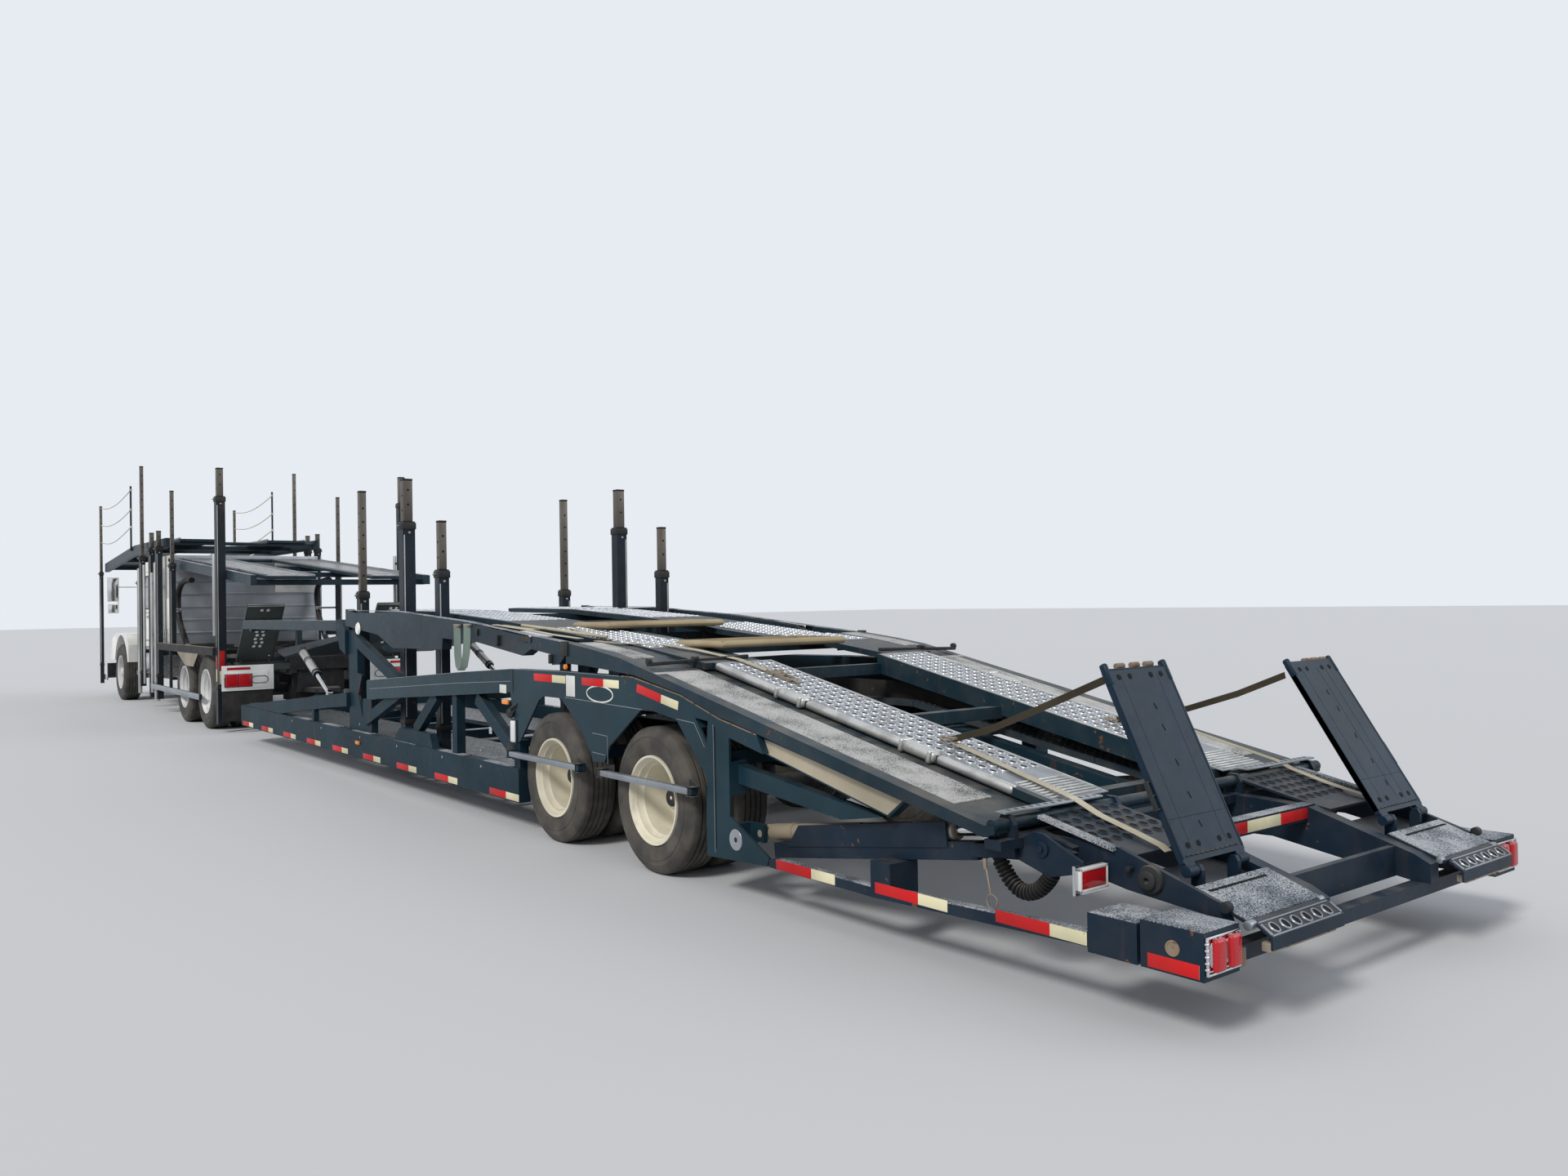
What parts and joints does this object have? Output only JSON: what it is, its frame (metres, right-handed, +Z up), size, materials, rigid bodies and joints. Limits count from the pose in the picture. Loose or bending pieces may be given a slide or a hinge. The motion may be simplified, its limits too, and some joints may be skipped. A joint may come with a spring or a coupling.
{
  "type": "car transporter truck",
  "caption": "articulated car transporter: sleeper tractor with decks over its cab and frame, and a low drop-deck trailer with side trusses, tilting decks, posts and rear loading flaps",
  "frame": {"origin": "on the ground, midway along and across the whole vehicle", "axes": "+X to the front of the tractor, +Y to the driver's left, +Z up"},
  "size_m": [23.95, 3.02, 3.98],
  "materials": {
    "tyre_rubber": "worn matt black rubber, dusty tread",
    "bright_rim": "polished disc wheel, lightly dulled",
    "axle_black": "satin black, road dust",
    "trailer_paint": "satin dark teal-navy paint, chipped and rust-streaked",
    "rim_cream": "cream-white painted disc wheel, dusty",
    "deck_metal": "dark teal-navy deck with grit plates, scuffed",
    "track_aluminium": "dull perforated aluminium track",
    "post_silver": "bright cylinder posts with dark collars",
    "cylinder_steel": "painted barrel and bright rod",
    "rod_chrome": "polished rod",
    "cab_white": "gloss off-white cab paint",
    "sleeper_grey": "grey ribbed sleeper wall",
    "window_glass": "clear tinted glass",
    "seat_fabric": "dark grey cloth seats and dash",
    "bright_metal": "bright metal trim",
    "lamp_red": "red lamp lenses",
    "mirror_glass": "dark mirror housings"
  },
  "bodies": {
    "tractor": {"tractor_frame": "axle_black", "engine_block": "axle_black", "tractor_axles": "axle_black", "cab_shell": "cab_white", "windscreen": "window_glass", "cab_interior": "seat_fabric", "sleeper_box": "sleeper_grey", "front_bumper": "bright_metal", "fuel_tanks": "bright_metal", "tractor_posts": "post_silver", "drive_guards": "trailer_paint", "mirrors": "mirror_glass", "tail_plates": "bright_metal"},
    "hood": {"hood": "cab_white", "grille": "bright_metal"},
    "door_left": {"door_left": "cab_white", "door_glass_left": "window_glass"},
    "door_right": {"door_right": "cab_white", "door_glass_right": "window_glass"},
    "knuckle_left": {"knuckle_left": "axle_black"},
    "steer_wheel_left": {"steer_tyre_left": "tyre_rubber", "steer_rim_left": "bright_rim"},
    "drive_front_wheels_left": {"drive_front_tyres_left": "tyre_rubber", "drive_front_rims_left": "bright_rim"},
    "drive_rear_wheels_left": {"drive_rear_tyres_left": "tyre_rubber", "drive_rear_rims_left": "bright_rim"},
    "knuckle_right": {"knuckle_right": "axle_black"},
    "steer_wheel_right": {"steer_tyre_right": "tyre_rubber", "steer_rim_right": "bright_rim"},
    "drive_front_wheels_right": {"drive_front_tyres_right": "tyre_rubber", "drive_front_rims_right": "bright_rim"},
    "drive_rear_wheels_right": {"drive_rear_tyres_right": "tyre_rubber", "drive_rear_rims_right": "bright_rim"},
    "tractor_deck": {"tractor_deck": "deck_metal"},
    "head_deck": {"head_deck": "deck_metal"},
    "trailer": {"trailer_frame": "trailer_paint", "side_trusses": "trailer_paint", "fender_beams": "trailer_paint", "tail_frame": "trailer_paint", "trailer_axles": "axle_black", "trailer_posts": "trailer_paint", "trailer_lamps": "lamp_red", "lower_deck": "track_aluminium"},
    "trailer_front_wheels_left": {"trailer_front_tyres_left": "tyre_rubber", "trailer_front_rims_left": "rim_cream"},
    "trailer_rear_wheels_left": {"trailer_rear_tyres_left": "tyre_rubber", "trailer_rear_rims_left": "rim_cream"},
    "trailer_front_wheels_right": {"trailer_front_tyres_right": "tyre_rubber", "trailer_front_rims_right": "rim_cream"},
    "trailer_rear_wheels_right": {"trailer_rear_tyres_right": "tyre_rubber", "trailer_rear_rims_right": "rim_cream"},
    "upper_deck": {"upper_deck": "deck_metal"},
    "rear_deck": {"rear_deck": "deck_metal"},
    "front_deck": {"front_deck": "deck_metal"},
    "lift_barrels": {"lift_barrels": "cylinder_steel"},
    "lift_rods": {"lift_rods": "rod_chrome"},
    "ramp_barrels": {"ramp_barrels": "cylinder_steel"},
    "ramp_rods": {"ramp_rods": "rod_chrome"},
    "flipper_left": {"flipper_left": "trailer_paint"},
    "flipper_right": {"flipper_right": "trailer_paint"}
  },
  "joints": [
    {"name": "hitch", "type": "hinge", "parent": "tractor", "child": "trailer", "pos_m": [1.975, 0, 0.41], "axis": [0, 0, 1], "range_deg": [-38, 38]},
    {"name": "steer_left", "type": "hinge", "parent": "tractor", "child": "knuckle_left", "pos_m": [10.075, 0.86, 0.44], "axis": [0, 0, 1], "range_deg": [-35, 35]},
    {"name": "steer_right", "type": "hinge", "parent": "tractor", "child": "knuckle_right", "pos_m": [10.075, -0.86, 0.44], "axis": [0, 0, 1], "range_deg": [-35, 35]},
    {"name": "steer_wheel_left_spin", "type": "hinge", "parent": "knuckle_left", "child": "steer_wheel_left", "pos_m": [10.075, 1.04, 0.5], "axis": [0, 1, 0], "continuous": true},
    {"name": "drive_front_left_spin", "type": "hinge", "parent": "tractor", "child": "drive_front_wheels_left", "pos_m": [4.515, 0.955, 0.5], "axis": [0, 1, 0], "continuous": true},
    {"name": "drive_rear_left_spin", "type": "hinge", "parent": "tractor", "child": "drive_rear_wheels_left", "pos_m": [3.195, 0.955, 0.5], "axis": [0, 1, 0], "continuous": true},
    {"name": "trailer_front_left_spin", "type": "hinge", "parent": "trailer", "child": "trailer_front_wheels_left", "pos_m": [-6.975, 0.995, 0.433], "axis": [0, 1, 0], "continuous": true},
    {"name": "trailer_rear_left_spin", "type": "hinge", "parent": "trailer", "child": "trailer_rear_wheels_left", "pos_m": [-8.225, 0.995, 0.433], "axis": [0, 1, 0], "continuous": true},
    {"name": "door_left_hinge", "type": "hinge", "parent": "tractor", "child": "door_left", "pos_m": [9.171, 1.042, 1.36], "axis": [0, 0, -1], "range_deg": [0, 65]},
    {"name": "steer_wheel_right_spin", "type": "hinge", "parent": "knuckle_right", "child": "steer_wheel_right", "pos_m": [10.075, -1.04, 0.5], "axis": [0, 1, 0], "continuous": true},
    {"name": "drive_front_right_spin", "type": "hinge", "parent": "tractor", "child": "drive_front_wheels_right", "pos_m": [4.515, -0.955, 0.5], "axis": [0, 1, 0], "continuous": true},
    {"name": "drive_rear_right_spin", "type": "hinge", "parent": "tractor", "child": "drive_rear_wheels_right", "pos_m": [3.195, -0.955, 0.5], "axis": [0, 1, 0], "continuous": true},
    {"name": "trailer_front_right_spin", "type": "hinge", "parent": "trailer", "child": "trailer_front_wheels_right", "pos_m": [-6.975, -0.995, 0.433], "axis": [0, 1, 0], "continuous": true},
    {"name": "trailer_rear_right_spin", "type": "hinge", "parent": "trailer", "child": "trailer_rear_wheels_right", "pos_m": [-8.225, -0.995, 0.433], "axis": [0, 1, 0], "continuous": true},
    {"name": "door_right_hinge", "type": "hinge", "parent": "tractor", "child": "door_right", "pos_m": [9.171, -1.042, 1.36], "axis": [0, 0, 1], "range_deg": [0, 65]},
    {"name": "hood_tilt", "type": "hinge", "parent": "tractor", "child": "hood", "pos_m": [11.275, 0, 0.64], "axis": [0, 1, 0], "range_deg": [0, 18]},
    {"name": "tractor_deck_tilt", "type": "hinge", "parent": "tractor", "child": "tractor_deck", "pos_m": [5.995, 0, 2.37], "axis": [0, 1, 0], "range_deg": [0, 8]},
    {"name": "head_deck_tilt", "type": "hinge", "parent": "tractor", "child": "head_deck", "pos_m": [6.255, 0, 2.645], "axis": [0, -1, 0], "range_deg": [0, 8]},
    {"name": "upper_deck_tilt", "type": "hinge", "parent": "trailer", "child": "upper_deck", "pos_m": [-2.865, 0, 1.5], "axis": [0, 1, 0], "range_deg": [0, 14]},
    {"name": "rear_deck_tilt", "type": "hinge", "parent": "trailer", "child": "rear_deck", "pos_m": [-10.905, 0, 0.655], "axis": [0, -1, 0], "range_deg": [0, 10]},
    {"name": "front_deck_tilt", "type": "hinge", "parent": "trailer", "child": "front_deck", "pos_m": [-2.545, 0, 1.42], "axis": [0, -1, 0], "range_deg": [-5, 3]},
    {"name": "flipper_left_fold", "type": "hinge", "parent": "trailer", "child": "flipper_left", "pos_m": [-11.603, 0.776, 0.538], "axis": [0, 1, 0], "range_deg": [-130, 47]},
    {"name": "flipper_right_fold", "type": "hinge", "parent": "trailer", "child": "flipper_right", "pos_m": [-11.603, -0.776, 0.538], "axis": [0, 1, 0], "range_deg": [-137, 40]},
    {"name": "lift_barrel_pivot", "type": "hinge", "parent": "front_deck", "child": "lift_barrels", "pos_m": [-0.365, 0, 1.12], "axis": [0, -1, 0], "range_deg": [-4.75, 3.09]},
    {"name": "lift_rod_slide", "type": "slide", "parent": "lift_barrels", "child": "lift_rods", "axis": [-0.9126, 0, -0.4088], "range_m": [-0.1089, 0.0694]},
    {"name": "ramp_barrel_pivot", "type": "hinge", "parent": "trailer", "child": "ramp_barrels", "pos_m": [-9.175, 0, 0.365], "axis": [0, -1, 0], "range_deg": [-1.67, 0.6]},
    {"name": "ramp_rod_slide", "type": "slide", "parent": "ramp_barrels", "child": "ramp_rods", "axis": [-0.9893, 0, 0.1462], "range_m": [-0.0081, 0.005]}
  ],
  "couplings": [
    {"joint": "steer_right", "follows": "steer_left", "ratio": 1},
    {"joint": "lift_barrel_pivot", "follows": "front_deck_tilt", "ratio": 0.8295},
    {"joint": "lift_rod_slide", "follows": "front_deck_tilt", "m_per_rad": 1.1337},
    {"joint": "ramp_barrel_pivot", "follows": "rear_deck_tilt", "ratio": -0.1066},
    {"joint": "ramp_rod_slide", "follows": "rear_deck_tilt", "m_per_rad": -0.0177}
  ]
}
